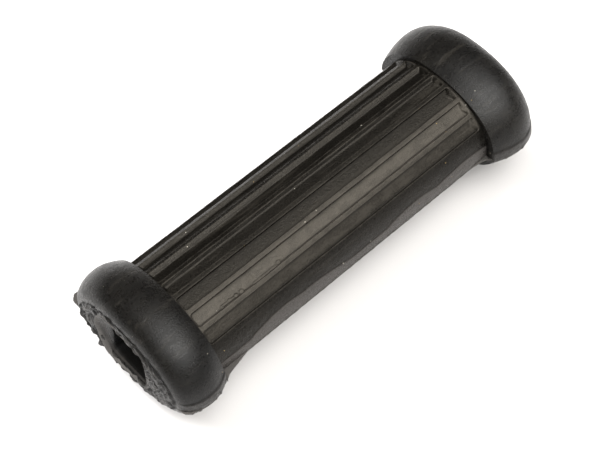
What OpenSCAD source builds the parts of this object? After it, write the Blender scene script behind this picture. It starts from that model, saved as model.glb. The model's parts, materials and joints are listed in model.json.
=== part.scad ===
// Rubber sleeve of a motorcycle foot peg, as one moulding laid out in its own parts:
// a ribbed barrel between two rounded end beads, with a blind square socket for the steel peg bar.
// X runs from the open end to the closed end, Z is up, and the beads rest on Z = 0.

/* [Overall] */
// Length over the mouth flash and both end beads
overall_length = 120; // [110:1:130]
// Height of the mould parting line above the surface it lies on
parting_height = 13.5; // [12.5:0.5:15]
// Height of the flat land that the mould leaves along the parting line
land = 0.8; // [0.4:0.1:1.2]

/* [Barrel] */
// Width of the barrel across the parting line
barrel_width = 35; // [33:0.5:38]
// Rise of the barrel's crown above the parting line
crown_height = 15; // [14:0.5:16.5]
// Drop of the barrel's plain belly below the parting line
belly_depth = 10; // [9:0.5:11]
// Squareness of the crown: 2 is an ellipse, more is boxier
crown_power = 2.2; // [2:0.1:2.5]
// Squareness of the belly: less than 2 pulls its corners in
belly_power = 1.5; // [1.4:0.1:2]
// How far the belly's curve runs past its flat, as a factor of its depth
belly_fullness = 1.15; // [1.05:0.05:1.3]

/* [Tread panels] */
// Number of sunken panels between the ribs
panel_count = 7; // [5:2:9]
// Step from rib to rib, measured round the crown
rib_step = 4.95; // [4.2:0.05:5.2]
// Width left standing between two panels
rib_width = 1.2; // [0.9:0.1:1.6]
// Depth of the panels, which is the height of the ribs
rib_height = 0.9; // [0.5:0.1:1.2]
// Plain ring left between the panels and each bead
ring_width = 0.8; // [0.5:0.1:2]
// Corner radius of a panel
panel_corner = 0.9; // [0.4:0.1:1.2]

/* [End beads] */
// Length of the bead at the open end
inner_bead_length = 13.2; // [12:0.2:15]
// Length of the bead at the closed end
outer_bead_length = 16; // [14:0.5:18]
// How far a bead stands out past the barrel's side
bead_overhang = 4.5; // [3.5:0.5:6]
// How far a bead stands up past the barrel's crown
bead_rise = 2.5; // [2:0.5:4]
// How far a bead's sharp lip stands out past the barrel's side
lip_overhang = 2.3; // [1.5:0.1:3]
// How far the open end's face is drawn in from the barrel's side
inner_face_inset = 1; // [0:0.5:3]
// How far the closed end's face is drawn in from the barrel's side
outer_face_inset = 1.6; // [0:0.2:3]
// Roundness of a bead: less is fuller at its edges
bead_roundness = 0.8; // [0.6:0.05:1]

/* [Socket] */
// Width of the socket for the peg bar
socket_width = 13; // [11:0.5:15]
// Height of the socket
socket_height = 15; // [12:0.5:16]
// Height of the socket's floor above the surface the sleeve lies on
socket_floor = 8.3; // [7:0.1:9]
// Thickness of rubber that closes the far end
end_wall = 8; // [6:1:12]

/* [Mould flash] */
// How far the thin flash reaches out round the beads
flash_reach = 0.6; // [0.3:0.1:1]
// How far the trimmed seam stands out along the barrel
seam_reach = 0.25; // [0.1:0.05:0.5]
// Length of the thin web in the corner between a bead and the barrel
web_length = 9; // [5:1:12]
// How far the torn lip round the mouth stands proud of the bead's face
mouth_lip = 0.8; // [0.4:0.1:1.2]
// Thickness of the torn lip round the mouth
mouth_lip_width = 1.2; // [0.8:0.1:2]

/* [Hidden] */
half_length = overall_length / 2;
half_barrel = barrel_width / 2;
bead_drop = parting_height - belly_depth;
barrel_start = -half_length + mouth_lip + inner_bead_length;
barrel_end = half_length - outer_bead_length;
barrel_length = barrel_end - barrel_start;
panel_length = barrel_length - 2 * ring_width;
rubber = [0.12, 0.12, 0.125];
trimmed_rubber = [0.24, 0.24, 0.25];
// Straight pieces in each half of a cross-section, and slices along a bead
arc_steps = 36;
bead_steps = 14;
// Straight pieces in a panel's corner
corner_steps = 5;
// Degrees stepped at a time where a distance is walked round the crown
walk_step = 0.5;
// Overshoot that keeps a cutter's end clear of the face it cuts
clear = 1;

function signed_power(value, exponent) = sign(value) * pow(abs(value), exponent);

// Point on the crown at an angle round from the left side, with Z measured from the parting line
function crown_point(angle, half_width, rise) = [
    half_width * signed_power(cos(angle), 2 / crown_power),
    land / 2 + (rise - land / 2) * pow(sin(angle), 2 / crown_power)
];

// Point on the belly, whose lowest stretch is flat
function belly_point(angle, half_width, drop) = [
    half_width * signed_power(cos(angle), 2 / belly_power),
    -land / 2 - (drop - land / 2) * min(1, belly_fullness * pow(sin(angle), 2 / belly_power))
];

function crown_arc(half_width, rise) =
    [for (step = [0:arc_steps]) crown_point(180 * step / arc_steps, half_width, rise)];

function belly_arc(half_width, drop) =
    [for (step = [0:arc_steps]) belly_point(180 - 180 * step / arc_steps, half_width, drop)];

// How far round a bead's slice lies between its end face, at 0, and its lip, at 1
function bead_turn(step) = (1 - cos(180 * step / bead_steps)) / 2;
function bead_swell(step) = pow(sin(180 * bead_turn(step)), bead_roundness);

// How far a bead stands out past the barrel's side at one slice
function bead_offset(step, face_inset) =
    let (turn = bead_turn(step), swell = bead_swell(step))
    (turn * lip_overhang - (1 - turn) * face_inset) * (1 - swell) + bead_overhang * swell;

// Ring of points round a bead at one slice
function bead_ring(step, length, face_inset) =
    let (
        offset = bead_offset(step, face_inset),
        width = half_barrel + offset,
        rise = crown_height + offset * bead_rise / bead_overhang,
        drop = belly_depth + offset * bead_drop / bead_overhang
    )
    [for (point = concat(crown_arc(width, rise), belly_arc(width, drop)))
        [length * bead_turn(step), point[0], point[1]]];

// Half-width of a bead at the parting line, slice by slice, as plan points.
// The flash starts at nothing on the end face and has its full reach at the lip.
function bead_edge(length, face_inset, reach) =
    [for (step = [0:bead_steps])
        let (turn = bead_turn(step))
        [length * turn, half_barrel + bead_offset(step, face_inset) + reach * sqrt(sin(90 * turn))]];

// Bead with its end face at X = 0 and its lip towards +X
module bead(length, face_inset) {
    ring = 2 * (arc_steps + 1);
    last = bead_steps * ring;
    points = [for (step = [0:bead_steps]) each bead_ring(step, length, face_inset)];
    sides = [for (step = [0:bead_steps - 1], k = [0:ring - 1])
        let (here = step * ring, next = (k + 1) % ring)
        [here + k, here + ring + k, here + ring + next, here + next]];
    face = [for (k = [0:ring - 1]) k];
    lip = [for (k = [0:ring - 1]) last + ring - 1 - k];
    polyhedron(points, concat(sides, [face], [lip]), convexity = 4);
}

// Lays a cross-section, drawn as Y and Z, along X from the inner bead to the outer one
module barrel_run() {
    translate([barrel_start, 0, parting_height])
        rotate([90, 0, 90])
            linear_extrude(barrel_length)
                children();
}

// Space for the steel peg bar, open at the mouth
module socket_space() {
    translate([-half_length - clear, -socket_width / 2, socket_floor])
        cube([overall_length - end_wall + clear, socket_width, socket_height]);
}

// Quarter turn of a panel's outline, from one start angle
function panel_turn(x, y, start) =
    [for (step = [0:corner_steps])
        let (angle = start + 90 * step / corner_steps)
        [x + panel_corner * cos(angle), y + panel_corner * sin(angle)]];

// Tray with round corners, its floor at the rib height below Z = 0
module panel_tray(length, width) {
    x = length / 2 - panel_corner;
    y = width / 2 - panel_corner;
    translate([0, 0, -rib_height])
        linear_extrude(rib_height + clear)
            polygon(concat(
                panel_turn(x, y, 0),
                panel_turn(-x, y, 90),
                panel_turn(-x, -y, 180),
                panel_turn(x, -y, 270)
            ));
}

// Angle turned from the crown's top at a distance walked round it
function walked_turn(distance, turn = 0) =
    let (
        here = crown_point(90 + turn, half_barrel, crown_height),
        next = crown_point(90 + turn + walk_step, half_barrel, crown_height),
        chord = norm(next - here)
    )
    distance > chord
        ? walked_turn(distance - chord, turn + walk_step)
        : turn + walk_step * distance / chord;

// Middle of a rib, counted in steps from the crown's top
function rib_point(count) =
    crown_point(90 + sign(count) * walked_turn(abs(count) * rib_step), half_barrel, crown_height);

// One sunken panel, set square to the crown between two ribs
module sunken_panel(count) {
    left = rib_point(count - 1 / 2);
    right = rib_point(count + 1 / 2);
    middle = (left + right) / 2;
    lean = atan2(left[1] - right[1], left[0] - right[0]);
    translate([(barrel_start + barrel_end) / 2, middle[0], parting_height + middle[1]])
        rotate([lean, 0, 0])
            panel_tray(panel_length, norm(left - right) - rib_width);
}

// Ribbed upper half of the barrel
module tread_crown() {
    color(rubber)
        difference() {
            barrel_run()
                polygon(concat(
                    [[half_barrel, 0]],
                    crown_arc(half_barrel, crown_height),
                    [[-half_barrel, 0]]
                ));
            socket_space();
            for (index = [0:panel_count - 1])
                sunken_panel(index - (panel_count - 1) / 2);
        }
}

// Plain lower half of the barrel
module belly() {
    color(rubber)
        difference() {
            barrel_run()
                polygon(concat(
                    [[-half_barrel, 0]],
                    belly_arc(half_barrel, belly_depth),
                    [[half_barrel, 0]]
                ));
            socket_space();
        }
}

// Rounded bead at the open end, which keeps the boot off the engine side
module inner_bead() {
    color(rubber)
        difference() {
            translate([-half_length + mouth_lip, 0, parting_height])
                bead(inner_bead_length, inner_face_inset);
            socket_space();
        }
}

// Rounded bead at the closed end, which keeps the boot from sliding off
module outer_bead() {
    color(rubber)
        difference() {
            translate([half_length, 0, parting_height])
                mirror([1, 0, 0])
                    bead(outer_bead_length, outer_face_inset);
            socket_space();
        }
}

// Plan outline of everything on the left side, bead to bead, pushed out by the flash
function side_outline(reach, seam, web) = concat(
    [for (point = bead_edge(inner_bead_length, inner_face_inset, reach))
        [point[0] - half_length + mouth_lip, point[1]]],
    [[barrel_start + web, half_barrel + seam], [barrel_end - web, half_barrel + seam]],
    [for (step = [bead_steps:-1:0])
        let (point = bead_edge(outer_bead_length, outer_face_inset, reach)[step])
        [half_length - point[0], point[1]]]
);

// Thin flash along one side: round the beads, along the seam, and across the inner corners
module side_flash() {
    translate([0, 0, parting_height - land / 2])
        linear_extrude(land)
            difference() {
                polygon(concat(
                    side_outline(flash_reach, seam_reach, web_length),
                    [[half_length, 0], [-half_length + mouth_lip, 0]]
                ));
                polygon(concat(
                    side_outline(0, 0, 0),
                    [[half_length + clear, 0], [half_length + clear, -clear]],
                    [[-half_length - clear, -clear], [-half_length - clear, 0]]
                ));
            }
}

module left_flash() {
    color(trimmed_rubber)
        side_flash();
}

module right_flash() {
    color(trimmed_rubber)
        mirror([0, 1, 0])
            side_flash();
}

// Torn lip left round the mouth where the moulding core was pulled out
module mouth_flash() {
    color(trimmed_rubber)
        difference() {
            translate([-half_length, -socket_width / 2 - mouth_lip_width, socket_floor - mouth_lip_width])
                cube([mouth_lip, socket_width + 2 * mouth_lip_width, socket_height + 2 * mouth_lip_width]);
            socket_space();
        }
}

tread_crown();
belly();
inner_bead();
outer_bead();
left_flash();
right_flash();
mouth_flash();
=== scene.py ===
# %% [markdown]
# # A foot peg rubber
# This is the black ribbed sleeve that pushes over a motorcycle's steel foot peg. It is one moulding:
# a ribbed barrel, a rounded bead at each end, a square socket, and the thin flash that two mould
# halves leave behind. The packed model gives the main sizes, and this lesson grows a worn, torn skin
# over it. Each part of the skin rides on the packed body and stands in for the plain CAD nodes.

# %% Open the packed model
import json
import math
from bisect import bisect_right

import bpy
from mathutils import Matrix, Vector, noise

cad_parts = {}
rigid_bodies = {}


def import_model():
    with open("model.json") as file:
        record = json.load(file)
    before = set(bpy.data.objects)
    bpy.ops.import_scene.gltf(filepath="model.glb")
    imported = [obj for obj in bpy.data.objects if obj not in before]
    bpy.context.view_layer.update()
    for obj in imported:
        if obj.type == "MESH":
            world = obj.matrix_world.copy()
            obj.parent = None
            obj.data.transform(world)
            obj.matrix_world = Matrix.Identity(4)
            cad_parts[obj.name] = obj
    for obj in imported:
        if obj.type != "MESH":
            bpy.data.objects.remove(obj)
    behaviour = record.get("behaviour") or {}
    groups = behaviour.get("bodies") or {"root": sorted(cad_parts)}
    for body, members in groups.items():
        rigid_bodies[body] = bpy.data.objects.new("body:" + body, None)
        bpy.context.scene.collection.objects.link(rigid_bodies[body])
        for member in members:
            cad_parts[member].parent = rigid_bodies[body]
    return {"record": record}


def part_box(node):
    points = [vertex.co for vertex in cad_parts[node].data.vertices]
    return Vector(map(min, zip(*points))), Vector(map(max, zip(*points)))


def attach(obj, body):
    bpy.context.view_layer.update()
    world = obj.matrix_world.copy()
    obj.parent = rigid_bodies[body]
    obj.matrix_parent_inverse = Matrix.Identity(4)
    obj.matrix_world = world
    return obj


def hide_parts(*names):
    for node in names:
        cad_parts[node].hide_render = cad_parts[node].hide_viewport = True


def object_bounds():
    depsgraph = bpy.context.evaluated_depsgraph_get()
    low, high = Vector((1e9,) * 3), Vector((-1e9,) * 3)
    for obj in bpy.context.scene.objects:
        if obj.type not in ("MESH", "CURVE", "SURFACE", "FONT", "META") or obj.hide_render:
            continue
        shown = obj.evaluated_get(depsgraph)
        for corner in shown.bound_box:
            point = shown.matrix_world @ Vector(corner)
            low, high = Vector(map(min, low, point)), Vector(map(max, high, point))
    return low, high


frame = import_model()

cad_low, cad_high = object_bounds()
print("CAD box in mm:", [round(1000 * v, 1) for v in cad_high - cad_low])

# %% [markdown]
# ## Sizes
# Blender works in metres here. Most places come from the boxes of the CAD nodes, so the skin follows
# the packed model. What a box can't tell, such as the step from rib to rib, is a number in
# millimetres, times MM.

# %% Read the sizes of the moulding
MM = 0.001
crown_low, crown_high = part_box("tread_crown")
belly_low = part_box("belly")[0]
inner_low, inner_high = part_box("inner_bead")
outer_low, outer_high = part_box("outer_bead")
mouth_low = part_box("mouth_flash")[0]
flash_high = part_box("left_flash")[1]
barrel_start, barrel_end = crown_low.x, crown_high.x
half_barrel = crown_high.y
parting = crown_low.z
crown_rise = crown_high.z - parting
belly_drop = parting - belly_low.z
print("barrel from", round(barrel_start / MM, 1), "to", round(barrel_end / MM, 1), "mm")

# %% Read the socket
opening_low, opening_high = frame["record"]["physics"]["openings"][0]["box_m"]
OPENING_GAP = 0.3 * MM
socket_half_width = opening_high[1] + OPENING_GAP
socket_floor = opening_low[2] - OPENING_GAP
socket_roof = opening_high[2] + OPENING_GAP
socket_middle = (socket_floor + socket_roof) / 2
socket_half_height = (socket_roof - socket_floor) / 2
socket_end = opening_high[0] + OPENING_GAP
print("socket", round(2000 * socket_half_width, 1), "by", round(2000 * socket_half_height, 1), "mm")

# %% [markdown]
# ## The cross-section
# The barrel's outline could be traced by hand as a curve. A formula is used instead, because the
# ribs, the beads and the flash all need points on that outline, and its outward direction. It is a
# superellipse, an ellipse with a dial for squareness: the crown is a little squarer than an ellipse,
# and the belly pulls its corners in and has a flat to lie on.

# %% Draw one point of a cross-section
CROWN_POWER = 2.2
BELLY_POWER = 1.5
BELLY_FULLNESS = 1.15


def signed_power(value, exponent):
    """A power that keeps the sign of its value."""
    return math.copysign(abs(value) ** exponent, value)


def section_point(turn, half_width, rise, drop):
    """Y and Z of the section at an angle round from the left side."""
    c, s = math.cos(turn), math.sin(turn)
    if s >= 0:
        y = half_width * signed_power(c, 2 / CROWN_POWER)
        return y, parting + rise * s ** (2 / CROWN_POWER)
    y = half_width * signed_power(c, 2 / BELLY_POWER)
    return y, parting - drop * min(1, BELLY_FULLNESS * (-s) ** (2 / BELLY_POWER))


def skin_point(turn):
    """Y and Z of the barrel's skin at an angle."""
    return section_point(turn, half_barrel, crown_rise, belly_drop)


def skin_normal(turn, nudge=0.01):
    """Outward direction of the barrel's skin, by a small step to each side."""
    y0, z0 = skin_point(turn - nudge)
    y1, z1 = skin_point(turn + nudge)
    return Vector((0, z1 - z0, y0 - y1)).normalized()


print("top of the crown in mm:", [round(v / MM, 1) for v in skin_point(math.pi / 2)])

# %% [markdown]
# ## Lofting
# A plain tube with booleans and bevels would come out even and new. Old rubber is uneven, so each
# part of the skin is a loft, whose points are placed one by one: rings with the same count of points,
# joined by four-sided faces. A loft that ends where it began is closed, like a tyre, so it has no
# loose edge. Each point brings its own marks along, such as how torn it is, and they become
# attributes that the materials read.

# %% Keep a point together with its marks
MARKS = ("sunk", "foot", "edge", "worn", "trimmed", "torn")


class Spot:
    """A point of the skin and its marks, each from 0 to 1."""

    def __init__(self, point, **marks):
        self.point = Vector(point)
        self.marks = marks


print("marks on each point:", ", ".join(MARKS))


# %% Build a mesh from rings of spots
def loft(name, rings, closed=False, start_cap=False, end_cap=False, crease=50):
    """Joins rings of spots into one object, with edges over the crease angle kept sharp."""
    count = len(rings[0])
    spots = [spot for ring in rings for spot in ring]
    faces = []
    for i in range(len(rings) if closed else len(rings) - 1):
        a, b = i * count, ((i + 1) % len(rings)) * count
        for j in range(count):
            k = (j + 1) % count
            faces.append((a + j, b + j, b + k, a + k))
    for wanted, base, flip in ((start_cap, 0, False), (end_cap, (len(rings) - 1) * count, True)):
        if wanted:
            middle = sum((s.point for s in spots[base:base + count]), Vector()) / count
            spots.append(Spot(middle, **spots[base].marks))
            hub = len(spots) - 1
            for j in range(count):
                k = (j + 1) % count
                faces.append((base + j, hub, base + k) if flip else (base + k, hub, base + j))
    mesh = bpy.data.meshes.new(name)
    mesh.from_pydata([tuple(s.point) for s in spots], [], faces)
    for mark in MARKS:
        attribute = mesh.attributes.new(mark, "FLOAT", "POINT")
        attribute.data.foreach_set("value", [s.marks.get(mark, 0.0) for s in spots])
    mesh.shade_smooth()
    mesh.set_sharp_from_angle(angle=math.radians(crease))
    obj = bpy.data.objects.new(name, mesh)
    bpy.context.collection.objects.link(obj)
    print(name, len(mesh.vertices), "points", len(mesh.polygons), "faces")
    return obj


# %% Space out the rings
def stations(low, high, coarse, spans):
    """Places from low to high, a coarse step apart, and finer inside each (from, to, step)."""
    places = [low]
    while places[-1] < high - 1e-9:
        here = places[-1]
        step = min([coarse] + [s for a, b, s in spans if a - s <= here < b])
        ahead = [a for a, b, s in spans if here < a - 1e-9 < here + step]
        places.append(min([here + step, high] + ahead))
    return places


print("stations from 0 to 2, finer after 1:", stations(0, 2, 1, [(1, 2, 0.5)]))


# %% Blend softly and wander slowly
def smooth(value):
    """0 to 1 with soft ends."""
    value = min(max(value, 0), 1)
    return value * value * (3 - 2 * value)


def wander(x, seed, size, reach):
    """A slow, repeatable drift along the sleeve, up to reach, over about size."""
    return reach * noise.noise(Vector((x / size, seed * 7.31, 0.5)))


def lumps(point, size, seed=0.0):
    """Noise from -1 to 1 through space, with lumps of about a size."""
    return noise.noise(Vector(point) / size + Vector((seed, 2.7 * seed, 0)))


print("a quarter of the way becomes", smooth(0.25))

# %% [markdown]
# ## The tread
# Eight narrow ribs run along the crown, with seven sunken panels between them. Booleans could cut
# the panels, but would leave them all alike. Here the skin sinks inside each panel, which is a long
# rectangle with rounded corners and a flat floor. A signed distance to that rectangle gives the
# depth and a painted shade line at its foot, and lets each flank be as steep or as slanted as it is
# on the real sleeve. The panels on the right are shallower, as if worn down.

# %% Lay out the ribs round the crown
RIB_COUNT = 8
RIB_STEP = 4.95 * MM
RIB_WIDTH = 1.1 * MM
RIB_DRIFT = -0.45 * MM
RIB_HEIGHTS = [h * MM for h in (0.9, 0.9, 0.9, 0.8, 0.7, 0.62, 0.5)]
START_RING = 0.35 * MM
END_RING = 0.5 * MM
PANEL_CORNER = 0.8 * MM
STEEP_FLANK = 0.2 * MM
SLANTED_FLANKS = [f * MM for f in (0.9, 0.9, 0.9, 0.7, 0.2, 0.2, 0.2)]
LEFT_FEET = [w * MM for w in (0.05, 0.05, 0.05, 0.05, 0.18, 0.16, 0.34)]
RIGHT_FEET = [w * MM for w in (0.12, 0.12, 0.14, 0.16, 0.2, 0.22, 0.08)]
END_FLANK = 1.8 * MM

ARC_STEPS = 1440
arc_table = [(0.0, 0.0)]
for step in range(1, ARC_STEPS + 1):
    turn = math.pi * step / ARC_STEPS
    y0, z0 = skin_point(arc_table[-1][1])
    y1, z1 = skin_point(turn)
    arc_table.append((arc_table[-1][0] + math.hypot(y1 - y0, z1 - z0), turn))
arc_lengths = [a for a, t in arc_table]
crown_arc = arc_lengths[-1]


def turn_at(arc):
    """Angle on the crown at a distance round from the left parting line."""
    i = min(max(bisect_right(arc_lengths, arc) - 1, 0), len(arc_table) - 2)
    (a0, t0), (a1, t1) = arc_table[i], arc_table[i + 1]
    return t0 + (t1 - t0) * (arc - a0) / (a1 - a0)


crown_middle = crown_arc / 2 + RIB_DRIFT
rib_arcs = [crown_middle + RIB_STEP * (j - (RIB_COUNT - 1) / 2) for j in range(RIB_COUNT)]
print("crown is", round(crown_arc / MM, 1), "mm round, ribs every", RIB_STEP / MM, "mm")


# %% Give each panel a flat floor
class Panel:
    """A sunken panel between two ribs: its middle, half-width, depth, left flank, and the reach of the
    painted shade at its feet.
    """

    def __init__(self, left, right, depth, slant, left_foot, right_foot):
        self.slant, self.left_foot, self.right_foot = slant, left_foot, right_foot
        self.centre, self.half = (left + right) / 2, (right - left - RIB_WIDTH) / 2
        (y0, z0), (y1, z1) = [skin_point(turn_at(self.centre + s * self.half)) for s in (-1, 1)]
        self.first, self.second = Vector((0, y0, z0)), Vector((0, y1, z1))
        across = self.second - self.first
        self.inward = Vector((0, across.z, -across.y)).normalized()
        if self.inward.z > 0:
            self.inward = -self.inward
        self.depth = depth

    def floor(self, x, arc):
        """The point of the flat floor below a place on the skin."""
        share = (arc - self.centre) / (2 * self.half) + 0.5
        point = self.first.lerp(self.second, share) + self.inward * self.depth
        return Vector((x, point.y, point.z))


panel_places = zip(rib_arcs, rib_arcs[1:], RIB_HEIGHTS, SLANTED_FLANKS, LEFT_FEET, RIGHT_FEET)
panels = [Panel(*place) for place in panel_places]
panel_start = barrel_start + START_RING
panel_end = barrel_end - END_RING
print("panels", [round(2 * p.half / MM, 2) for p in panels], "mm wide")


# %% Measure the distance to a panel's edge
def rounded_box_distance(along, across, half_along, half_across, corner):
    """Distance outside a rounded rectangle, negative inside it."""
    dx = abs(along) - half_along + corner
    dy = abs(across) - half_across + corner
    return math.hypot(max(dx, 0), max(dy, 0)) + min(max(dx, dy), 0) - corner


def nearest_panel(x, arc):
    """The nearest panel, the distance outside it, its flank's width, and the reach and strength of the
    painted shade at its foot.
    """
    index = min(range(len(panels)), key=lambda k: abs(arc - panels[k].centre))
    panel = panels[index]
    across = arc - panel.centre
    side = index + (0.5 if across > 0 else 0)
    across += wander(x, side + 3, 14 * MM, 0.07 * MM)
    across += wander(x, side + 40, 3 * MM, 0.03 * MM)
    middle = (panel_start + panel_end) / 2
    half_long = (panel_end - panel_start) / 2 + wander(arc, 11, 4 * MM, 0.2 * MM)
    away = rounded_box_distance(x - middle, across, half_long, panel.half, PANEL_CORNER)
    flank = panel.slant if across < 0 else STEEP_FLANK
    foot_reach = panel.left_foot if across < 0 else panel.right_foot
    shade_share = 1.0
    if x > middle:
        end = smooth(0.5 + ((x - middle - half_long) - (abs(across) - panel.half)) / (1.2 * MM))
        flank += (END_FLANK - flank) * end
        shade_share *= smooth((half_long - abs(x - middle)) / (4 * MM))
    return panel, away, flank, foot_reach, shade_share


# %% [markdown]
# ## Blisters
# A few low blisters stand along one rib, and there are some pits. They could be sculpted by hand,
# but a script can't repeat a hand's strokes. So each is a short round-ended ridge or dent, with
# painted shade round each ridge's foot and inside each pit.

# %% Place the blisters and pits
blister_rib = rib_arcs[6]
# Each has its two ends, along the sleeve and across from the rib, its radius and its height, in mm.
BLISTERS = [
    (-38.1, -1.15, -37.9, -1.15, 0.42, 0.13),
    (-37.6, -1.3, -34.0, -1.2, 0.26, 0.13),
    (-35.7, -1.32, -35.3, -1.3, 0.36, 0.13),
    (-33.8, -1.25, -33.4, -1.25, 0.4, 0.13),
    (-32.1, -1.2, -31.8, -1.2, 0.46, 0.13),
    (-28.4, -0.85, -21.5, -0.9, 0.3, 0.1),
    (-20.6, -1.2, -20.3, -1.2, 0.45, 0.13),
    (-32.0, -1.2, -31.9, -1.2, 0.14, -0.1),
    (-20.5, -1.2, -20.4, -1.2, 0.14, -0.1),
    (-30.5, -3.8, -30.0, -3.7, 0.12, -0.12),
    (-28.3, -2.8, -27.5, -2.55, 0.15, -0.15),
    (-8.9, -2.2, -8.7, -2.1, 0.16, -0.12),
    (-4.9, -4.3, -4.5, -4.25, 0.2, -0.15),
]


def blister_at(x, arc):
    """Height of the blisters at a place, and how much painted shade falls there, round a blister's foot or
    in a pit.
    """
    height, outline = 0.0, 0.0
    for x0, a0, x1, a1, radius, rise in BLISTERS:
        px, pa = x / MM - x0, (arc - blister_rib) / MM - a0
        lx, la = x1 - x0, a1 - a0
        share = min(max((px * lx + pa * la) / (lx * lx + la * la), 0), 1)
        away = math.hypot(px - share * lx, pa - share * la) - radius
        if away < 0.4:
            swell = rise * MM * smooth(0.5 - away / 0.25)
            height = swell if abs(swell) > abs(height) else height
            near = 1 - abs(away - 0.04) / 0.14 if rise > 0 else -away / 0.1
            outline = max(outline, smooth(near))
            if rise > 0 and away < -0.1:
                outline = 0.0
    return height, outline


print(len(BLISTERS), "blisters and pits beside rib 7")

# %% [markdown]
# ## The trimmed band
# Rubber squeezes out where the two halves of a mould meet. It looks shaved off here in a few long
# strokes, which leave a paler band whose top edge dips and rises. Paint alone could show it, but it
# has a real edge, so the skin also takes a small step there. Each stroke is a flat parabola, and the
# band reaches up to the highest of them.

# %% Describe the knife's strokes
# Each stroke has its middle along the sleeve, its half-length and its top, in mm.
STROKES = [(-25, 11, 5.4), (-17, 13, 4.9), (18.5, 10, 4.8), (36, 13, 4.8)]
LEAST_TRIM = 3.2
BAND_STEP = 0.16 * MM
BAND_EDGE = 0.2 * MM
BAND_BOTTOM = 0.45 * MM


def trimmed_height(x):
    """How far above the parting line the knife reached."""
    cuts = [top - (top - LEAST_TRIM) * ((x / MM - at) / half) ** 2 for at, half, top in STROKES]
    return max(cuts + [LEAST_TRIM]) * MM + wander(x, 70, 4 * MM, 0.1 * MM)


def band_share(height, top):
    """1 inside the trimmed band and 0 outside, at a height over the parting line."""
    below_top = smooth(0.5 + (top - height) / BAND_EDGE)
    above_bottom = smooth(0.5 + (height + BAND_BOTTOM) / BAND_EDGE)
    return below_top * above_bottom


print("knife reached", max(top for at, half, top in STROKES), "mm above the parting line at most")

# %% Shape the barrel's skin
WORN_AND_LIT_FROM = 30.5 * MM
WORN_AND_LIT_PEAK_TO = 38.5 * MM
WORN_AND_LIT_TO = 42.2 * MM
EDGE_REACH = 0.16 * MM


def worn_share(arc):
    """How pale the crown is at a distance round: the right-hand panels, most in their middle, partly worn
    and partly painted light where they face the glow.
    """
    rise = smooth((arc - WORN_AND_LIT_FROM) / (4.5 * MM))
    peak = 0.6 + 0.4 * smooth((WORN_AND_LIT_PEAK_TO - arc) / (2 * MM))
    return rise * peak * smooth((WORN_AND_LIT_TO - arc) / (0.8 * MM))


def barrel_spot(x, arc, turn):
    """A spot of the barrel's outside."""
    y, z = skin_point(turn)
    skin = Vector((x, y, z))
    normal = skin_normal(turn)
    sunk, foot, edge, worn = 0.0, 0.0, 0.0, 0.0
    point = skin + normal * 0.05 * MM * lumps(skin, 6 * MM)
    height = z - parting
    if turn < math.pi:
        height = min(arc, crown_arc - arc)
        panel, away, flank, foot_reach, shade_share = nearest_panel(x, arc)
        steep = flank < 2 * STEEP_FLANK
        sunk = smooth(-away / flank) if steep else min(max(-away / flank, 0), 1)
        floor = panel.floor(x, arc) + normal * 0.02 * MM * lumps(skin, 3 * MM, 5)
        point = point.lerp(floor, sunk)
        # Painted shade: a dark line runs along the foot of each flank inside the panel.
        if away < 0:
            foot = shade_share * smooth(1.3 * (1 - abs(-away - flank * 0.7 - foot_reach) / foot_reach))
        # The rib edges are painted paler, partly as wear and partly as a painted highlight.
        edge = smooth(1 - abs(away - 0.06 * MM) / EDGE_REACH)
        worn = worn_share(arc)
        rise, outline = blister_at(x, arc)
        point += normal * rise
        foot = max(foot * (1 - smooth(rise / (0.06 * MM))), 0.8 * outline)
    # Painted shadow: the barrel darkens beside each bead's overhanging lip.
    joint = min(x - barrel_start, barrel_end - x)
    foot = max(foot, 0.9 * smooth(1.4 - joint / (0.4 * MM)))
    band = band_share(height, trimmed_height(x if y < 0 else -x))
    point += normal * BAND_STEP * band
    grit = (1 - sunk) * (1 - band) * smooth((abs(y) / half_barrel - 0.8) / 0.1)
    point += normal * 0.07 * MM * grit * lumps(skin, 0.8 * MM, 9)
    return Spot(point, sunk=sunk, foot=foot, edge=edge, worn=worn, trimmed=band)


# %% Choose where the barrel needs fine detail
# Each span has where it starts, where it ends and the step between its points.
fine_arcs = []
for panel in panels:
    left_edge, right_edge = panel.centre - panel.half, panel.centre + panel.half
    for edge_arc in (left_edge, right_edge):
        fine_arcs.append((edge_arc - 0.3 * MM, edge_arc + 0.42 * MM, 0.07 * MM))
    fine_arcs.append((left_edge, left_edge + panel.slant, 0.14 * MM))
fine_arcs.append((blister_rib - 1.75 * MM, blister_rib - 0.6 * MM, 0.11 * MM))
TRIM_LOW, TRIM_HIGH = 2.8 * MM, 5.8 * MM
fine_arcs.append((TRIM_LOW, TRIM_HIGH, 0.2 * MM))
fine_arcs.append((crown_arc - TRIM_HIGH, crown_arc - TRIM_LOW, 0.15 * MM))
arcs = stations(0.0, crown_arc, 0.5 * MM, fine_arcs)[:-1]
turns = [turn_at(a) for a in arcs]
BELLY_STEPS = 48
NO_ARC = -1.0
turns += [math.pi + math.pi * k / BELLY_STEPS for k in range(BELLY_STEPS)]
arcs += [NO_ARC] * BELLY_STEPS
# The last three spans below are where the blisters stand.
lengths = stations(barrel_start, barrel_end, 0.6 * MM, [
    (panel_start - 0.2 * MM, panel_start + 1.1 * MM, 0.1 * MM),
    (panel_end - 2.8 * MM, panel_end + 0.3 * MM, 0.2 * MM),
    (-38.8 * MM, -31.0 * MM, 0.16 * MM),
    (-30.8 * MM, -27.2 * MM, 0.2 * MM),
    (-21.3 * MM, -19.7 * MM, 0.16 * MM),
])
print(len(arcs), "points round,", len(lengths), "along")

# %% [markdown]
# ## The socket
# The socket takes a square steel bar, so the tunnel is a rectangle with soft corners. A boolean
# could cut it, but would leave long thin faces across the ends. A superellipse with a high power
# gives the same outline, and it is asked for at the same angles as the outside, so the rings join.

# %% Draw a spot of the socket's wall
SOCKET_POWER = 9


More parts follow.
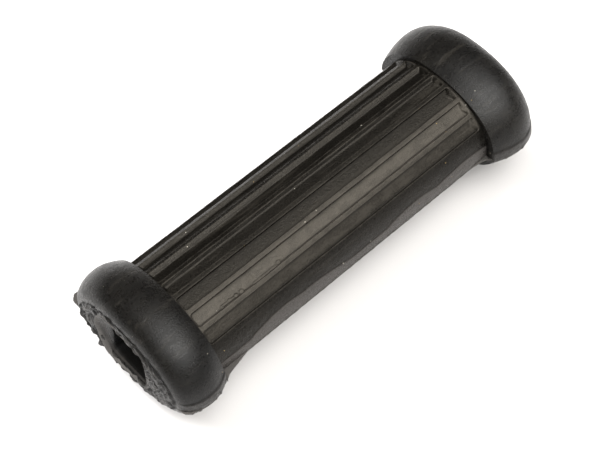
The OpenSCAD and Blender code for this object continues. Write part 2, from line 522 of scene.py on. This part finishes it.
def socket_reach(angle, grow=0.0):
    """Distance from the socket's middle line to its wall at an angle."""
    c = abs(math.cos(angle)) / (socket_half_width + grow)
    s = abs(math.sin(angle)) / (socket_half_height + grow)
    return (c ** SOCKET_POWER + s ** SOCKET_POWER) ** (-1 / SOCKET_POWER)


def socket_point(x, angle, grow=0.0):
    """A point of the socket's wall, moved outwards by grow."""
    reach = socket_reach(angle, grow)
    return Vector((x, reach * math.cos(angle), socket_middle + reach * math.sin(angle)))


def socket_angle(point):
    """Angle round the socket's middle line of any point."""
    return math.atan2(point.z - socket_middle, point.y)


print("socket's corner is", round(socket_reach(math.pi / 4) / MM, 1), "mm from its middle line")

# %% Loft the barrel
outside = [[barrel_spot(x, a, t) for a, t in zip(arcs, turns)] for x in lengths]
TUNNEL_STEPS = 6
tunnel = []
# The socket's wall is painted in shade all the way in.
for k in range(TUNNEL_STEPS + 1):
    x = barrel_end + (barrel_start - barrel_end) * k / TUNNEL_STEPS
    tunnel.append([Spot(socket_point(x, socket_angle(s.point)), foot=1.0) for s in outside[0]])
barrel = loft("barrel_skin", outside + tunnel, closed=True, crease=75)
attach(barrel, "root")
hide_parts("tread_crown", "belly")

# %% [markdown]
# ## The end beads
# Each bead swells from its end face to a crest and falls to a sharp lip that overhangs the barrel.
# A squashed torus would be too even. Here each bead is the barrel's own outline, pushed out by
# offsets that change along it, so that bead and barrel always fit. The offsets follow a quarter of
# an ellipse up to the crest, which makes a round nose, and then a parabola down to the lip. The
# trimmed band runs on round the beads.

# %% Describe a bead's profile
BEAD_TRIM = 3.1 * MM


class Bead:
    """One bead's offsets from the barrel: to the side, up and down, at its face, crest and lip."""

    def __init__(self, length, crest_place, face, crest, lip, dust=0.0):
        self.length, self.crest_place, self.dust = length, crest_place, dust
        self.face, self.crest, self.lip = face, crest, lip

    def offsets(self, along):
        """Side, top and bottom offsets at a distance from the end face."""
        if along < self.crest_place:
            rise = math.sqrt(max(0, 1 - (1 - along / self.crest_place) ** 2))
            return [f + (c - f) * rise for f, c in zip(self.face, self.crest)]
        fall = ((along - self.crest_place) / (self.length - self.crest_place)) ** 2
        return [c - (c - l) * fall for c, l in zip(self.crest, self.lip)]

    def outline(self, x, along, turns):
        """Bare points round the bead."""
        side, top, bottom = self.offsets(along)
        shape = (half_barrel + side, crown_rise + top, belly_drop + bottom)
        return [Vector((x, *section_point(t, *shape))) for t in turns]

    def ring(self, x, along, turns):
        """Spots round the bead, with the trimmed band and slight swells."""
        spots = []
        full = smooth(along / (1.5 * MM))
        for point in self.outline(x, along, turns):
            top = BEAD_TRIM + wander(x + point.y, 31, 3 * MM, 0.5 * MM)
            band = band_share(point.z - parting, top) * full
            side = math.copysign(1, point.y)
            moved = point + Vector((0, side * 0.3 * MM * band, 0))
            away = Vector((0, point.y, point.z - parting)).normalized()
            moved += away * 0.12 * MM * lumps(point, 7 * MM, 3) * full * (1 - band)
            moved += away * 0.1 * MM * lumps(point, 1.1 * MM, 4) * full * band
            dusty = self.dust * smooth((-point.y - 9 * MM) / (9 * MM))
            dusty *= 0.6 + 0.6 * lumps(point, 2 * MM, 17)
            spots.append(Spot(moved, trimmed=0.4 * band, worn=min(max(dusty, 0), 1)))
        return spots


def nose_places(bead, front_steps, back_steps):
    """Places along a bead, closer together where its nose curves most."""
    angles = [math.pi / 2 * k / front_steps for k in range(front_steps)]
    front = [bead.crest_place * (1 - math.cos(a)) for a in angles]
    rest = bead.length - bead.crest_place
    return front + [bead.crest_place + rest * k / back_steps for k in range(back_steps + 1)]


# %% Set up both beads
# The crest stays this far inside the CAD bead, which leaves room for the swells.
SWELL_ROOM = 0.1 * MM
crest_top = inner_high.z - crown_high.z - SWELL_ROOM
crest_bottom = belly_low.z - inner_low.z - SWELL_ROOM
crest = (4.35 * MM, crest_top, crest_bottom)
inner_bead = Bead(
    inner_high.x - inner_low.x, 7.0 * MM,
    face=(0.3 * MM, -2.4 * MM, -1.2 * MM),
    crest=crest,
    lip=(2.2 * MM, 1.0 * MM, 1.3 * MM),
)
outer_bead = Bead(
    outer_high.x - outer_low.x, 8.0 * MM,
    face=(-2.1 * MM, -2.8 * MM, -3.0 * MM),
    crest=crest,
    lip=(2.5 * MM, 0.6 * MM, 1.5 * MM),
    dust=0.25,
)
BEAD_AROUND = 420
NOSE_STEPS = 26
BACK_STEPS = 24
LIP_STEPS = 4
bead_turns = [2 * math.pi * k / BEAD_AROUND for k in range(BEAD_AROUND)]
for title, bead in (("open", inner_bead), ("closed", outer_bead)):
    print("bead at the", title, "end is", round(bead.length / MM, 1), "mm long")


# %% Fill in between two rings
def blend_rings(first, second, steps):
    """Rings between two, not counting them."""
    rings = []
    for k in range(1, steps):
        share = k / steps
        ring = []
        for a, b in zip(first, second):
            marks = {m: a.marks.get(m, 0) * (1 - share) + b.marks.get(m, 0) * share for m in MARKS}
            ring.append(Spot(a.point.lerp(b.point, share), **marks))
        rings.append(ring)
    return rings


# %% [markdown]
# ## The torn face
# The face round the mouth is rough and torn, its left wall opens out like a funnel, and a paler lip
# stands round it. A displacement modifier would roughen it evenly. Torn rubber pulls into strands,
# so the face is pushed in and out by ridged noise that is stretched round the mouth, fading out
# towards the smooth nose.

# %% Tear the face and widen the mouth
inner_front = inner_low.x
TEAR_REACH = 0.8 * MM
FUNNEL_DEPTH = 1.1 * MM
FUNNEL_ANGLE = 0.1
FUNNEL_SPREAD = 0.62
FUNNEL_WIDTH = 3.7
LEAST_WIDTH = 0.15


def funnel(angle, depth):
    """How much wider than the socket the mouth is, at a depth from the face."""
    share = max(0, 1 - depth / FUNNEL_DEPTH)
    left = math.exp(-((angle - FUNNEL_ANGLE) / FUNNEL_SPREAD) ** 2)
    return (LEAST_WIDTH + FUNNEL_WIDTH * left) * MM * share


def strands(point, long, short, seed):
    """Torn strands from 0 to 1, which run round the mouth and are long that way."""
    around = socket_angle(point) * 9 * MM
    out = math.hypot(point.y, point.z - socket_middle)
    return (1 - abs(noise.noise(Vector((around / long, out / short, seed))))) ** 4


# %% Roughen a spot of the face
RIM_SHARE = 0.955
CRUMB_ANGLE = -0.69
CRUMB_PULL = Vector((-0.5, 0.8, -1.7)) * MM


def tear(spot, share):
    """Roughens a spot of the face, by how far it is between the mouth and the smooth nose."""
    fade = smooth(share / 0.1) * smooth((1.02 - share) / 0.08)
    point = spot.point
    rough = 0.7 * strands(point, 7 * MM, 1.4 * MM, 1.3) + 0.3 * strands(point, 2 * MM, 0.8 * MM, 4.7)
    rough += 0.55 * lumps(point, 2.4 * MM, 3) + 0.2 * lumps(point, 0.9 * MM, 8)
    spot.point = point + Vector((-TEAR_REACH * fade * min(max(rough, -0.5), 1), 0, 0))
    spot.marks["torn"] = 0.55 * fade * smooth((rough - 0.35) / 0.5)
    # Painted shade: a shadow line at the rim below the nose, and the torn face's hollows darker.
    rim = smooth(1 - abs(share - RIM_SHARE) / 0.05)
    spot.marks["foot"] = max(0.9 * rim, 0.7 * fade * smooth((0.35 - rough) / 0.3))
    crumb = math.exp(-((socket_angle(point) - CRUMB_ANGLE) / 0.05) ** 2)
    spot.point += CRUMB_PULL * crumb * smooth((share - 0.8) / 0.1) * fade
    spot.point.x = max(spot.point.x, cad_low.x)
    return spot


print("mouth opens", round(funnel(FUNNEL_ANGLE, 0) / MM, 1), "mm further on the left")

# %% Loft the bead at the open end
MOUTH_STEPS = 24
FACE_STEPS = 34


def inner_rings():
    """Rings from the socket out over the torn face and the nose, and back to the barrel."""
    lip_places = inner_bead.ring(inner_high.x, inner_bead.length, bead_turns)
    flat = [Spot((inner_high.x, *skin_point(t))) for t in bead_turns]
    angles = [socket_angle(s.point) for s in flat]
    rings = []
    depth = inner_high.x - inner_front
    for k in range(MOUTH_STEPS + 1):
        down = depth * (1 - k / MOUTH_STEPS) ** 1.7
        # The funnel's wall is painted in shade deeper in.
        dark = smooth((down - 0.6 * FUNNEL_DEPTH) / (0.7 * MM))
        wall = [socket_point(inner_front + down, a, funnel(a, down)) for a in angles]
        rings.append([Spot(point, foot=dark) for point in wall])
    face = inner_bead.ring(inner_front, 0, bead_turns)
    torn = blend_rings(rings[-1], face, FACE_STEPS)
    rings += [[tear(spot, (k + 1) / FACE_STEPS) for spot in ring] for k, ring in enumerate(torn)]
    for along in nose_places(inner_bead, NOSE_STEPS, BACK_STEPS):
        rings.append(inner_bead.ring(inner_front + along, along, bead_turns))
    rings += blend_rings(lip_places, flat, LIP_STEPS)
    rings.append(flat)
    return rings


inner = loft("inner_bead_skin", inner_rings(), closed=True)
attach(inner, "root")
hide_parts("inner_bead")


# %% Loft the bead at the closed end
def outer_rings():
    """Rings from the socket's end out to the barrel's edge, over the bead and to its end face."""
    flat = [Spot((outer_low.x, *skin_point(t))) for t in bead_turns]
    angles = [socket_angle(s.point) for s in flat]
    bottom = [Spot(socket_point(socket_end, a)) for a in angles]
    mouth = [Spot(socket_point(outer_low.x, a)) for a in angles]
    rings = [bottom, mouth, flat]
    lip = outer_bead.ring(outer_low.x, outer_bead.length, bead_turns)
    rings += blend_rings(flat, lip, LIP_STEPS)
    for along in reversed(nose_places(outer_bead, NOSE_STEPS, BACK_STEPS)):
        rings.append(outer_bead.ring(outer_high.x - along, along, bead_turns))
    return rings


outer = loft("outer_bead_skin", outer_rings(), start_cap=True, end_cap=True)
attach(outer, "root")
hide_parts("outer_bead")

# %% [markdown]
# ## The mouth's lip
# The torn lip is a thin ridge that follows the mouth. A curve with a bevel could draw it, but with
# the same section all the way. Here its section is a short loop of points, with a bevel that faces
# the hole, a ragged crest and a steep back, and its width and height change all the way round.

# %% Loft the mouth's lip
LIP_AROUND = 260
LIP_HEIGHT = inner_low.x - mouth_low.x
LIP_SHAKE = 0.1 * MM


def lip_section(angle):
    """Closed loop of spots across the lip at one angle round the mouth."""
    at = socket_point(inner_front, angle)
    low_side = max(0, -math.sin(angle - 0.5))
    width = (0.7 + 1.2 * low_side ** 2 + 0.3 * lumps(at, 2.2 * MM, 11)) * MM
    height = LIP_HEIGHT * min(1, 0.6 + 0.4 * low_side + 0.2 * lumps(at, 1.3 * MM, 12))
    mouth = funnel(angle, 0)
    profile = [
        (0.6 * MM, funnel(angle, 0.6 * MM) - 0.02 * MM),
        (0.1 * MM, funnel(angle, 0.1 * MM) - 0.02 * MM),
        (-0.35 * height, mouth + 0.22 * width),
        (-0.75 * height, mouth + 0.5 * width),
        (-0.97 * height, mouth + 0.78 * width),
        (-height, mouth + 0.92 * width),
        (-0.8 * height, mouth + 1.05 * width),
        (-0.2 * height, mouth + 1.15 * width),
        (0.5 * MM, mouth + 1.25 * width),
        (1.1 * MM, mouth + 0.9 * width),
    ]
    spots = []
    for index, (out, grow) in enumerate(profile):
        point = socket_point(inner_front + out, angle, grow)
        if 2 <= index <= 7:
            shake = Vector([lumps(point, 0.6 * MM, seed) for seed in (13, 14, 15)])
            point += shake * LIP_SHAKE
            point.x = max(point.x, mouth_low.x)
        pale = 1.0 if 2 <= index <= 6 else 0.1
        spots.append(Spot(point, torn=pale, trimmed=pale))
    return spots


lip_angles = [-math.pi + 2 * math.pi * k / LIP_AROUND for k in range(LIP_AROUND)]
lip = loft("mouth_lip", [lip_section(a) for a in lip_angles], closed=True)
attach(lip, "root")
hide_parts("mouth_flash")

# %% [markdown]
# ## The side flash
# A thin sheet of rubber is left in the corner between each bead and the barrel, where a knife can't
# reach, and a ragged rim runs on round the beads. A flat plane would have no thickness to catch the
# light. Each side is one thin ribbon, lofted between a line inside the skin and a torn outer line.

# %% Draw the plan of one side's flash
WEB_LENGTH = 8.5 * MM
LEFT_WEB_LENGTH = 12 * MM
FAR_WEB_LENGTH = 5 * MM
WEB_STEPS = 40
SEAM_STEPS = 140
RIM_STEPS = (30, 20)
RIM_HALF_THICK = 0.42 * MM
WEB_HALF_THICK = 0.26 * MM
SEAM_HALF_THICK = 0.22 * MM
ROOT_DEPTH = 0.5 * MM


def bead_plan(bead, face_x, away, seed, torn):
    """Inner and outer plan points of the rim round one bead, from its face to its lip."""
    plan = []
    for along in nose_places(bead, *RIM_STEPS):
        x = face_x + away * along
        side = half_barrel + bead.offsets(along)[0]
        ragged = max(0, noise.noise(Vector((x / (0.9 * MM), seed, 0)))) * 0.45 * MM
        reach = (0.3 + torn * math.exp(-(along / MM - 1.6) ** 2 / 4)) * MM + ragged
        reach *= smooth(along / (0.8 * MM))
        nose = max(0, 1 - along / bead.crest_place)
        out_x = min(max(x - away * reach * nose * 0.7, cad_low.x), cad_high.x)
        out_y = min(side + reach, flash_high.y)
        plan.append((x + away * 0.3 * MM, side - 0.9 * MM, out_x, out_y, RIM_HALF_THICK))
    return plan


def web_plan(start_x, away, length, spread, flare, seed):
    """Plan points of the web from a bead's lip out along the barrel."""
    plan = []
    for k in range(WEB_STEPS + 1):
        along = length * k / WEB_STEPS
        x = start_x + away * along
        ragged = 0.12 * MM * noise.noise(Vector((x / (0.8 * MM), seed, 3)))
        reach = 0.3 * MM + spread * (1 - k / WEB_STEPS) + flare * math.exp(-along / (0.8 * MM))
        out_y = min(half_barrel + reach + ragged, flash_high.y)
        plan.append((x, half_barrel - ROOT_DEPTH, x, out_y, WEB_HALF_THICK))
    return plan


def seam_plan(low, high, seed):
    """Plan points of the trimmed seam along the barrel between the two webs."""
    plan = []
    for k in range(1, SEAM_STEPS):
        x = low + (high - low) * k / SEAM_STEPS
        ragged = 0.08 * MM * noise.noise(Vector((x / (1.5 * MM), seed, 6)))
        plan.append((x, half_barrel - ROOT_DEPTH, x, half_barrel + 0.26 * MM + ragged, SEAM_HALF_THICK))
    return plan


print("webs", [round(w / MM, 1) for w in (LEFT_WEB_LENGTH, WEB_LENGTH, FAR_WEB_LENGTH)], "mm long")

# %% Loft both sides' flash
# Each step across the ribbon has its share of the way out and its share of the thickness.
RIBBON_SECTION = ((0, 1), (0.55, 0.75), (0.85, 0.8), (0.97, 0.7), (1, 0.2))


def flash_rings(side, seed):
    """Rings of one side's ribbon, all the way from one end face to the other."""
    plan = bead_plan(inner_bead, inner_front, 1, seed, 0.9 if side > 0 else 0.2)
    length = LEFT_WEB_LENGTH if side > 0 else WEB_LENGTH
    spread, flare = (2.5 * MM, 0.2 * MM) if side > 0 else (1.9 * MM, 0.9 * MM)
    plan += web_plan(barrel_start, 1, length, spread, flare, seed)
    plan += seam_plan(barrel_start + length, barrel_end - FAR_WEB_LENGTH, seed)
    plan += reversed(web_plan(barrel_end, -1, FAR_WEB_LENGTH, 0.5 * MM, 1.6 * MM, seed + 9))
    plan += reversed(bead_plan(outer_bead, outer_high.x, -1, seed + 4, 0.1))
    rings = []
    for in_x, in_y, out_x, out_y, half_thick in plan:
        inside = Vector((in_x, side * in_y, parting))
        outer_edge = Vector((out_x, side * out_y, parting))
        across = [(inside.lerp(outer_edge, share), thick) for share, thick in RIBBON_SECTION]
        loop = across + [(p, -t) for p, t in reversed(across)]
        if side < 0:
            loop.reverse()
        spots = []
        for point, thick in loop:
            rise = thick * half_thick + 0.07 * MM * lumps(point, 0.9 * MM, seed + thick)
            spots.append(Spot(point + Vector((0, 0, rise)), torn=0.5, trimmed=0.7))
        rings.append(spots)
    return rings


for side, name in ((1, "left_flash"), (-1, "right_flash")):
    ribbon = loft(name + "_ribbon", flash_rings(side, 2.0 + side), start_cap=True, end_cap=True)
    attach(ribbon, "root")
    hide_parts(name)

# %% [markdown]
# ## Rubber
# Black rubber has very little colour, and what the eye reads is its sheen. One flat black would look
# like plastic, and three hand-made materials would drift apart, so one recipe serves every part with
# its own numbers. Noise of several sizes clouds the colour and the roughness, grain and scuffs
# drive the bump, and pale and brown specks of grit are thinly scattered. The marks from the lofts
# paint shade, setting the panels' floors on one near-black and darkening their feet, the socket and
# the torn face's hollows. They lighten what is trimmed or torn, and lighten the rib edges and the
# worn right-hand panels, which is partly wear and partly painted light.


# %% Collect helpers for the node recipe
class Recipe:
    """A material's node tree, with short ways to add to it."""

    def __init__(self, name):
        self.material = bpy.data.materials.new(name)
        self.material.use_nodes = True
        self.tree = self.material.node_tree
        self.shader = self.tree.nodes["Principled BSDF"]
        self.place = self.tree.nodes.new("ShaderNodeTexCoord").outputs["Object"]

    def link(self, source, socket):
        """Feeds one node's result into another's socket."""
        self.tree.links.new(source, socket)

    def mark(self, name):
        """One of the marks that the lofts brought along."""
        node = self.tree.nodes.new("ShaderNodeAttribute")
        node.attribute_name = name
        return node.outputs["Fac"]

    def noise(self, size, detail=3.0, stretch=(1, 1, 1), roughness=0.55):
        """Noise whose lumps are about a size in millimetres."""
        mapping = self.tree.nodes.new("ShaderNodeMapping")
        mapping.inputs["Scale"].default_value = stretch
        self.link(self.place, mapping.inputs["Vector"])
        node = self.tree.nodes.new("ShaderNodeTexNoise")
        node.inputs["Scale"].default_value = 1 / (size * MM)
        node.inputs["Detail"].default_value = detail
        node.inputs["Roughness"].default_value = roughness
        self.link(mapping.outputs["Vector"], node.inputs["Vector"])
        return node.outputs["Fac"]

    def ramp(self, value, low, high, at_low=0.0, at_high=1.0):
        """Straight line from one result at low to another at high, and level outside them."""
        node = self.tree.nodes.new("ShaderNodeMapRange")
        for name, number in (("From Min", low), ("From Max", high), ("To Min", at_low), ("To Max", at_high)):
            node.inputs[name].default_value = number
        self.link(value, node.inputs["Value"])
        return node.outputs["Result"]

    def math(self, operation, first, second):
        """Arithmetic on two, each a number or the result of another node."""
        node = self.tree.nodes.new("ShaderNodeMath")
        node.operation = operation
        for socket, value in zip(node.inputs, (first, second)):
            if isinstance(value, (int, float)):
                socket.default_value = value
            else:
                self.link(value, socket)
        return node.outputs["Value"]

    def mix(self, factor, first, second):
        """A colour between two, each a colour or the result of another mix."""
        node = self.tree.nodes.new("ShaderNodeMix")
        node.data_type = "RGBA"
        self.link(factor, node.inputs["Factor"])
        for socket, value in ((node.inputs[6], first), (node.inputs[7], second)):
            if isinstance(value, tuple):
                socket.default_value = (*value, 1)
            else:
                self.link(value, socket)
        return node.outputs[2]


print("recipe helpers:", [name for name in vars(Recipe) if not name.startswith("_")])


# %% Add specks and bump to the helpers
class RubberRecipe(Recipe):
    """Helpers that only the rubber needs."""

    def specks(self, size, share, radius):
        """Scattered grit: 1 on a speck, for a share of the cells of a size in millimetres."""
        node = self.tree.nodes.new("ShaderNodeTexVoronoi")
        node.inputs["Scale"].default_value = 1 / (size * MM)
        self.link(self.place, node.inputs["Vector"])
        split = self.tree.nodes.new("ShaderNodeSeparateColor")
        self.link(node.outputs["Color"], split.inputs["Color"])
        chosen = self.math("LESS_THAN", split.outputs["Red"], share)
        inside = self.ramp(node.outputs["Distance"], radius / size, 0.6 * radius / size)
        return self.math("MULTIPLY", chosen, inside)

    def bump(self, height, distance):
        """Lays a height from 0 to 1 onto the surface, for a distance in millimetres."""
        node = self.tree.nodes.new("ShaderNodeBump")
        node.inputs["Strength"].default_value = 1.0
        node.inputs["Distance"].default_value = distance * MM
        self.link(height, node.inputs["Height"])
        self.link(node.outputs["Normal"], self.shader.inputs["Normal"])


# %% Name the colours of wear, dirt, and painted shade and light
# The floor and foot colours are painted shade. The pale worn grey is wear, and painted light on the rib
# edges and the right-hand panels.
FLOOR_SHADE = (0.0012, 0.001, 0.0007)
WORN_AND_LIT = (0.028, 0.025, 0.0205)
CUT = (0.036, 0.033, 0.031)
TORN = (0.085, 0.081, 0.076)
SHADE_BLACK = (0.001, 0.0008, 0.0006)
PALE_GRIT = (0.3, 0.28, 0.24)
BROWN_GRIT = (0.25, 0.17, 0.07)
print("darkest mark", min(FLOOR_SHADE[0], SHADE_BLACK[0]), "and lightest", max(CUT[0], TORN[0]), "of full red")


# %% Write the rubber recipe
def rubber(name, skin, clouded, roughness, specular, tint, grain):
    """Old black rubber, from its clean and clouded colours, and its grain's height in millimetres."""
    r = RubberRecipe(name)
    clouds = r.ramp(r.noise(7, 4), 0.35, 0.7)
    patches = r.ramp(r.noise(1.6, 5, (0.45, 1, 1), 0.65), 0.35, 0.68)
    grit = r.noise(0.5, 4, (1, 1, 1), 0.7)
    scuffs = r.ramp(r.noise(2.2, 3, (0.08, 1, 1), 0.7), 0.56, 0.72)
    colour = r.mix(clouds, skin, clouded)
    colour = r.mix(r.math("MULTIPLY", r.ramp(grit, 0.35, 0.75), 0.7), colour, clouded)
    # Painted shade: the sunken panels' floors go near-black.
    colour = r.mix(r.math("MULTIPLY", r.mark("sunk"), r.ramp(patches, 0, 1, 0.35, 0.8)), colour, FLOOR_SHADE)
    # Paler rib edges: partly wear, partly a painted highlight.
    colour = r.mix(r.math("MULTIPLY", r.mark("edge"), r.ramp(patches, 0, 1, 0.2, 0.8)), colour, WORN_AND_LIT)
    # Partly wear and partly painted light: the right-hand panels, which face the glow, go paler.
    colour = r.mix(r.math("MULTIPLY", r.mark("worn"), r.ramp(patches, 0.2, 0.8, 0.5, 1)), colour, WORN_AND_LIT)
    colour = r.mix(r.math("MULTIPLY", scuffs, 0.25), colour, WORN_AND_LIT)
    colour = r.mix(r.math("MULTIPLY", r.mark("trimmed"), r.ramp(patches, 0, 1, 0.7, 1)), colour, CUT)
    colour = r.mix(r.math("MULTIPLY", r.mark("torn"), r.ramp(grit, 0.3, 0.7, 0.2, 0.9)), colour, TORN)
    # Painted shade: panel feet, blister feet, pits, the socket and the torn face's hollows go near-black.
    colour = r.mix(r.math("MULTIPLY", r.mark("foot"), 0.95), colour, SHADE_BLACK)
    colour = r.mix(r.specks(3.1, 0.55, 0.15), colour, PALE_GRIT)
    colour = r.mix(r.specks(3.7, 0.6, 0.15), colour, BROWN_GRIT)
    r.link(colour, r.shader.inputs["Base Color"])
    rough = r.ramp(patches, 0, 1, roughness - 0.06, roughness + 0.12)
    rough = r.math("ADD", rough, r.ramp(grit, 0.3, 0.7, -0.12, 0.12))
    rough = r.math("ADD", rough, r.math("MULTIPLY", r.mark("torn"), 0.15))
    rough = r.math("ADD", rough, r.math("MULTIPLY", r.mark("foot"), 0.3))
    r.link(rough, r.shader.inputs["Roughness"])
    height = r.math("ADD", r.math("MULTIPLY", grit, 0.6), r.math("MULTIPLY", r.noise(0.22, 2), 0.4))
    height = r.math("ADD", height, r.math("MULTIPLY", scuffs, -0.25))
    r.bump(height, grain)
    r.shader.inputs["Specular IOR Level"].default_value = specular
    r.shader.inputs["Specular Tint"].default_value = (*tint, 1)
    return r.material


# %% Mix the three rubbers
tread_rubber = rubber(
    "tread_rubber", skin=(0.0004, 0.0003, 0.0002), clouded=(0.003, 0.0026, 0.002),
    roughness=0.27, specular=0.2, tint=(1, 0.93, 0.82), grain=0.15,
)
bead_rubber = rubber(
    "bead_rubber", skin=(0.0006, 0.0005, 0.0004), clouded=(0.005, 0.0045, 0.0038),
    roughness=0.3, specular=0.2, tint=(0.98, 0.99, 1), grain=0.13,
)
flash_rubber = rubber(
    "flash_rubber", skin=(0.004, 0.0037, 0.0033), clouded=(0.012, 0.011, 0.0102),
    roughness=0.45, specular=0.22, tint=(1, 0.97, 0.93), grain=0.15,
)
for piece in bpy.data.objects:
    if piece.name.endswith("_ribbon") or piece.name == "mouth_lip":
        piece.data.materials.append(flash_rubber)
barrel.data.materials.append(tread_rubber)
inner.data.materials.append(bead_rubber)
outer.data.materials.append(bead_rubber)
print("materials:", [m.name for m in bpy.data.materials])

# %% [markdown]
# ## Table and light
# The sleeve lies on a plain pale table. Lamps close by would draw hard bright shapes on the rubber,
# so the sheen comes from the room itself: a broad soft glow, high and a little to the right, that
# fades in all directions. A soft light from the left lays the shadow to the right. It is kept out of
# glossy reflections, so it lights the table without greying the rubber's sheen.

# %% Lay the table
TABLE_HALF = 1.5
TABLE_GAP = 0.1 * MM
corners = [(x * TABLE_HALF, y * TABLE_HALF, 0) for x, y in ((-1, -1), (1, -1), (1, 1), (-1, 1))]
mesh = bpy.data.meshes.new("table")
mesh.from_pydata(corners, [], [(0, 1, 2, 3)])
table = bpy.data.objects.new("table", mesh)
bpy.context.collection.objects.link(table)
table.location.z = cad_low.z - TABLE_GAP
paper = bpy.data.materials.new("table_paper")
paper.use_nodes = True
paper_shader = paper.node_tree.nodes["Principled BSDF"]
paper_shader.inputs["Base Color"].default_value = (0.48, 0.473, 0.47, 1)
paper_shader.inputs["Roughness"].default_value = 0.9
paper_shader.inputs["Specular IOR Level"].default_value = 0.1
mesh.materials.append(paper)
print("table is", 2 * TABLE_HALF, "m wide")

# %% Hang the soft light over the left side
FILL_SIDE = Vector((-0.3, 0.6, 0.74)).normalized()
FILL_DISTANCE = 1.0
fill = bpy.data.lights.new("left_softbox", "AREA")
fill.shape = "RECTANGLE"
fill.size, fill.size_y = 0.7, 0.7
fill.energy = 27.0
fill_light = bpy.data.objects.new("left_softbox", fill)
bpy.context.collection.objects.link(fill_light)
fill_light.location = FILL_SIDE * FILL_DISTANCE
fill_light.rotation_euler = FILL_SIDE.to_track_quat("Z", "Y").to_euler()
fill_light.visible_glossy = False
print("soft light", fill.size, "m wide,", fill.energy, "W")

# %% Light the room
GLOW_SIDE = Vector((0.05, -0.42, 0.88)).normalized()
GLOW_STRENGTH = 11.5
GLOW_FOCUS = 8.0
ROOM_STRENGTH = 0.2
world = bpy.data.worlds.new("room")
bpy.context.scene.world = world
world.use_nodes = True
tree = world.node_tree
background = tree.nodes["Background"]
place = tree.nodes.new("ShaderNodeTexCoord")
facing = tree.nodes.new("ShaderNodeVectorMath")
facing.operation = "DOT_PRODUCT"
facing.inputs[1].default_value = GLOW_SIDE
tree.links.new(place.outputs["Generated"], facing.inputs[0])


def room_math(operation, source, *numbers):
    """Adds one math step to the room's light, and gives its result."""
    node = tree.nodes.new("ShaderNodeMath")
    node.operation = operation
    tree.links.new(source, node.inputs[0])
    for index, number in enumerate(numbers):
        node.inputs[index + 1].default_value = number
    return node.outputs["Value"]


towards = room_math("MAXIMUM", facing.outputs["Value"], 0.0)
lobe = room_math("POWER", towards, GLOW_FOCUS)
glow = room_math("MULTIPLY_ADD", lobe, GLOW_STRENGTH, ROOM_STRENGTH)
tree.links.new(glow, background.inputs["Strength"])
background.inputs["Color"].default_value = (1, 0.985, 0.96, 1)
bpy.context.scene.view_settings.view_transform = "Standard"
print("glow comes from", [round(v, 2) for v in GLOW_SIDE])

# %% [markdown]
# ## The camera
# The camera stands high, past the open end and to the right, and looks down on the sleeve. It could
# be turned by hand, but two angles and a distance are easier to read and to change. Its matrix is
# built from the directions to its right, up and back.

# %% Set up the camera
CAMERA_LIFT = math.radians(58.36)
CAMERA_SWING = math.radians(42.84)
CAMERA_DISTANCE = 381.2 * MM
CAMERA_TARGET = Vector((-5.34, -1.27, 15.0)) * MM
CAMERA_LENS = 93.08
right = Vector((math.cos(CAMERA_SWING), -math.sin(CAMERA_SWING), 0))
back = Vector((
    -math.sin(CAMERA_SWING) * math.cos(CAMERA_LIFT),
    -math.cos(CAMERA_SWING) * math.cos(CAMERA_LIFT),
    math.sin(CAMERA_LIFT),
))
up = back.cross(right)
camera_data = bpy.data.cameras.new("camera")
camera_data.lens = CAMERA_LENS
camera_data.sensor_width = 36
camera_data.clip_start = 0.01
camera = bpy.data.objects.new("camera", camera_data)
bpy.context.collection.objects.link(camera)
camera.matrix_world = Matrix((
    (right.x, up.x, back.x, 0), (right.y, up.y, back.y, 0), (right.z, up.z, back.z, 0), (0, 0, 0, 1),
))
camera.location = CAMERA_TARGET + back * CAMERA_DISTANCE
bpy.context.scene.camera = camera
print("camera is", round(CAMERA_DISTANCE / MM), "mm away")
